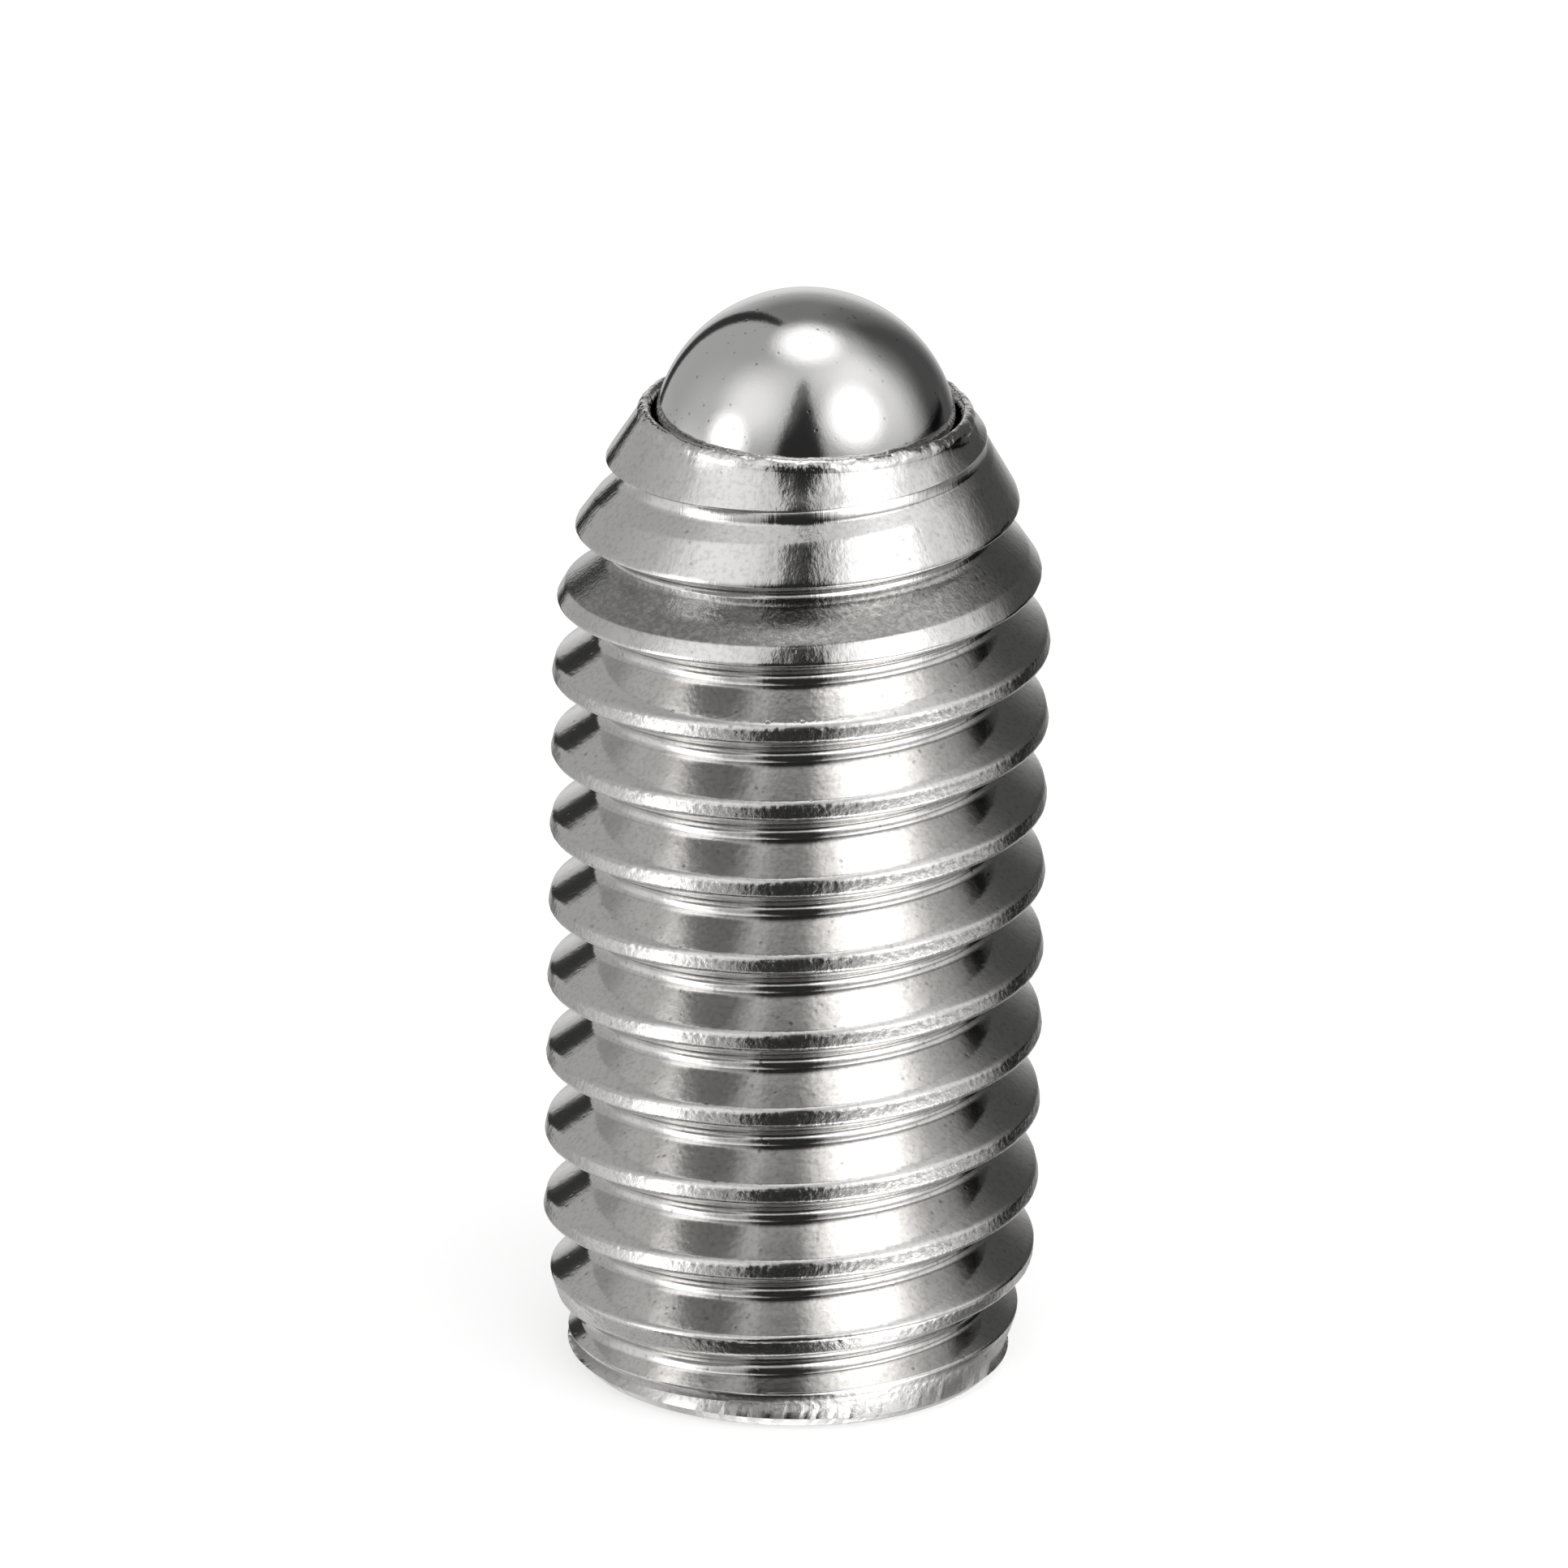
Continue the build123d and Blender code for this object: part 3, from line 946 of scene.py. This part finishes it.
def spot(tree, direction, azimuth, elevation, inner, outer):
    """1 inside a round patch of the tent, falling softly to 0 outside it."""
    dot = tree.nodes.new("ShaderNodeVectorMath")
    dot.operation = "DOT_PRODUCT"
    tree.links.new(direction, dot.inputs[0])
    dot.inputs[1].default_value = toward(azimuth, elevation)
    turned = calc(tree, "ARCCOSINE", calc(tree, "MINIMUM", dot.outputs["Value"], 1.0))
    return spread(tree, turned, math.radians(outer), math.radians(inner))


def panel(tree, around, rise, azimuth, elevation, half_width, half_height, soft, taper=0):
    """1 inside a panel of the tent that stands upright, falling to 0 across its soft edge."""
    away = calc(tree, "WRAP", calc(tree, "SUBTRACT", around, math.radians(azimuth)), math.pi, -math.pi)
    away = calc(tree, "ABSOLUTE", away)
    if taper:
        base, top = math.radians(elevation - half_height), math.radians(elevation + half_height)
        lost = spread(tree, rise, base, top, 0.0, math.radians(half_width * taper), False)
        away = calc(tree, "ADD", away, lost)
    high = calc(tree, "ABSOLUTE", calc(tree, "SUBTRACT", rise, math.radians(elevation)))
    across = spread(tree, away, math.radians(half_width + soft), math.radians(half_width - soft))
    along = spread(tree, high, math.radians(half_height + soft), math.radians(half_height - soft))
    return times(tree, across, along)


def tent_material():
    """Pale cloth with soft lamps behind it and dark flags in front. Its lower half is a painted reflection
    of a
    polished table: the same lamps and flags mirrored, painted pools of their light and painted shadows."""
    material = bpy.data.materials.new("tent_cloth")
    material.use_nodes = True
    tree = material.node_tree
    tree.nodes.clear()
    where = tree.nodes.new("ShaderNodeTexCoord")
    unit = tree.nodes.new("ShaderNodeVectorMath")
    unit.operation = "NORMALIZE"
    tree.links.new(where.outputs["Object"], unit.inputs[0])
    split = tree.nodes.new("ShaderNodeSeparateXYZ")
    tree.links.new(unit.outputs["Vector"], split.inputs[0])
    x, y, z = split.outputs
    mirrored = tree.nodes.new("ShaderNodeCombineXYZ")
    for socket, value in zip(mirrored.inputs, (x, y, calc(tree, "ABSOLUTE", z))):
        tree.links.new(value, socket)
    around = calc(tree, "ARCTAN2", x, times(tree, y, -1.0))
    rise = calc(tree, "ARCSINE", z)
    climb = calc(tree, "ABSOLUTE", rise)

    light = calc(tree, "MULTIPLY_ADD", calc(tree, "LESS_THAN", z, 0.0), PAINTED_TABLE_GLOW, TENT_GREY)
    # Flags and lamps also show mirrored below the horizon, as their painted reflection in a polished table.
    for *place, darkness in FLAGS:
        dim = calc(tree, "MULTIPLY_ADD", panel(tree, around, climb, *place), -darkness, 1.0)
        light = times(tree, light, dim)
    for *place, brightness in LAMPS:
        light = calc(tree, "MULTIPLY_ADD", spot(tree, mirrored.outputs[0], *place), brightness, light)
    # Painted pools of lamplight, most of them in the table's painted reflection.
    for *place, brightness in PAINTED_POOLS:
        light = calc(tree, "MULTIPLY_ADD", panel(tree, around, rise, *place), brightness, light)
    # Painted shadows in the table's painted reflection, such as the plunger's shadow at its foot.
    for *place, darkness in PAINTED_TABLE_SHADOWS:
        dim = calc(tree, "MULTIPLY_ADD", spot(tree, unit.outputs["Vector"], *place), -darkness, 1.0)
        light = times(tree, light, dim)
    glow = tree.nodes.new("ShaderNodeEmission")
    tree.links.new(light, glow.inputs["Strength"])
    out = tree.nodes.new("ShaderNodeOutputMaterial")
    tree.links.new(glow.outputs[0], out.inputs["Surface"])
    return material


def seen_directly(tree):
    """1 for rays from the camera, for reflected ones and for those seen through glass."""
    path = tree.nodes.new("ShaderNodeLightPath")
    direct = calc(tree, "MAXIMUM", path.outputs["Is Camera Ray"], path.outputs["Is Glossy Ray"])
    return calc(tree, "MAXIMUM", direct, path.outputs["Is Transmission Ray"])


def make_floor(studio):
    """A plain pale floor that keeps the plunger's shadow."""
    bpy.ops.object.select_all(action="DESELECT")
    bpy.ops.mesh.primitive_plane_add(size=FLOOR_SIZE, location=(0, 0, BODY_LOW.z))
    floor = bpy.context.active_object
    floor.name = "floor"
    material = bpy.data.materials.new("floor")
    material.use_nodes = True
    tree = material.node_tree
    shader = tree.nodes["Principled BSDF"]
    shader.inputs["Base Color"].default_value = (*studio.floor_colour, 1)
    shader.inputs["Roughness"].default_value = FLOOR_ROUGHNESS
    shader.inputs["Specular IOR Level"].default_value = 0.0
    shader.inputs["Emission Color"].default_value = (1, 1, 1, 1)
    feed(tree, shader.inputs["Emission Strength"], times(tree, seen_directly(tree), FLOOR_GLOW))
    floor.data.materials.append(material)
    # Reflections don't see the floor: the tent's lower half paints a table's reflection in its place.
    floor.visible_glossy = False


def make_tent(studio):
    """The light tent, which only reflections see."""
    bpy.ops.object.select_all(action="DESELECT")
    bpy.ops.mesh.primitive_uv_sphere_add(segments=64, ring_count=32, radius=studio.tent_radius,
                                         location=(0, 0, (CAD_BOX[0].z + CAD_BOX[1].z) / 2))
    tent = bpy.context.active_object
    tent.name = "light_tent"
    tent.data.materials.append(tent_material())
    for kind in ("camera", "diffuse", "transmission", "volume_scatter", "shadow"):
        setattr(tent, f"visible_{kind}", False)


def make_world():
    """A white background, and a plain light of the room on everything else."""
    world = bpy.data.worlds.new("studio")
    bpy.context.scene.world = world
    world.use_nodes = True
    tree = world.node_tree
    background = tree.nodes["Background"]
    background.inputs["Color"].default_value = (1, 1, 1, 1)
    strength = spread(tree, seen_directly(tree), 0, 1, AMBIENT, 1.0, False)
    feed(tree, background.inputs["Strength"], strength)


def make_lamp(studio):
    """A soft round lamp overhead, for the floor's shadow."""
    lamp = bpy.data.lights.new("overhead_lamp", "AREA")
    lamp.shape = "DISK"
    lamp.size = LAMP_SIZE
    lamp.energy = studio.lamp_power
    holder = bpy.data.objects.new("overhead_lamp", lamp)
    holder.location = toward(*LAMP_PLACE) * LAMP_DISTANCE
    holder.rotation_euler = (-holder.location).to_track_quat("-Z", "Y").to_euler()
    holder.visible_glossy = False
    holder.visible_camera = False
    bpy.context.scene.collection.objects.link(holder)


def make_camera(studio):
    """The camera, level but for a slight lean, looking down at the plunger."""
    camera = bpy.data.cameras.new("camera")
    camera.sensor_width = 36
    camera.lens = camera.sensor_width * studio.distance / studio.view_width
    camera.clip_start = 0.01
    camera.clip_end = 10
    holder = bpy.data.objects.new("camera", camera)
    away = toward(0, math.degrees(studio.elevation))
    holder.location = Vector((studio.aim_x, 0, studio.aim_z)) + away * studio.distance
    facing = (-away).to_track_quat("-Z", "Y").to_matrix().to_4x4()
    turned = facing @ Matrix.Rotation(studio.roll, 4, "Z")
    holder.rotation_euler = turned.to_euler()
    bpy.context.scene.collection.objects.link(holder)
    bpy.context.scene.camera = holder


# ---- Operators, panel and registration -----------------------------------------------------------

class PLUNGER_OT_body(bpy.types.Operator):
    """Builds the threaded body with its crimped nose, bore and hex socket."""

    bl_idname = "plunger.body"
    bl_label = "Threaded body"
    bl_options = {"REGISTER", "UNDO"}

    def execute(self, context):
        make_groups()
        body = make_body(context.scene.plunger_sizes)
        dress(body, body_steel(context.scene.plunger_finish), "housing", "threaded_body")
        return {"FINISHED"}


class PLUNGER_OT_ball(bpy.types.Operator):
    """Builds the captive ball."""

    bl_idname = "plunger.ball"
    bl_label = "Ball"
    bl_options = {"REGISTER", "UNDO"}

    def execute(self, context):
        make_groups()
        dress(make_ball(), ball_steel(context.scene.plunger_finish), "ball", "ball")
        return {"FINISHED"}


class PLUNGER_OT_spring(bpy.types.Operator):
    """Builds the spring as it stands at rest; the real one shortens as the ball is pressed in."""

    bl_idname = "plunger.spring"
    bl_label = "Spring"
    bl_options = {"REGISTER", "UNDO"}

    def execute(self, context):
        make_groups()
        spring = make_spring(context.scene.plunger_sizes)
        dress(spring, spring_steel(context.scene.plunger_finish), "housing", "spring")
        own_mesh(spring)
        return {"FINISHED"}


class PLUNGER_OT_stage(bpy.types.Operator):
    """Sets up the floor, the light tent, the lamp, the world and the camera."""

    bl_idname = "plunger.stage"
    bl_label = "Stage"
    bl_options = {"REGISTER", "UNDO"}

    def execute(self, context):
        studio = context.scene.plunger_studio
        make_floor(studio)
        make_tent(studio)
        make_world()
        make_lamp(studio)
        make_camera(studio)
        context.scene.view_settings.view_transform = "Standard"
        return {"FINISHED"}


class PLUNGER_PT_panel(bpy.types.Panel):
    """Lists the steps and the sizes."""

    bl_idname = "PLUNGER_PT_panel"
    bl_label = "Plunger"
    bl_space_type = "VIEW_3D"
    bl_region_type = "UI"
    bl_category = "Plunger"

    def draw(self, context):
        for step in (PLUNGER_OT_body, PLUNGER_OT_ball, PLUNGER_OT_spring, PLUNGER_OT_stage):
            self.layout.operator(step.bl_idname)
        for name in ("plunger_sizes", "plunger_finish", "plunger_studio"):
            group = getattr(context.scene, name)
            box = self.layout.box()
            for key in group.__annotations__:
                box.prop(group, key)


SETTINGS = {"plunger_sizes": PlungerSizes, "plunger_finish": PlungerFinish,
            "plunger_studio": PlungerStudio}
CLASSES = (*SETTINGS.values(), PLUNGER_OT_body, PLUNGER_OT_ball, PLUNGER_OT_spring, PLUNGER_OT_stage,
           PLUNGER_PT_panel)


def register():
    """Adds the classes and the settings to Blender."""
    for cls in CLASSES:
        bpy.utils.register_class(cls)
    for name, group in SETTINGS.items():
        setattr(bpy.types.Scene, name, PointerProperty(type=group))


def unregister():
    """Takes them away again."""
    for name in SETTINGS:
        delattr(bpy.types.Scene, name)
    for cls in reversed(CLASSES):
        bpy.utils.unregister_class(cls)


def main():
    """Builds the plunger and its studio with their default sizes."""
    register()
    bpy.ops.plunger.body()
    bpy.ops.plunger.ball()
    bpy.ops.plunger.spring()
    bpy.ops.plunger.stage()


if __name__ == "__main__":
    main()
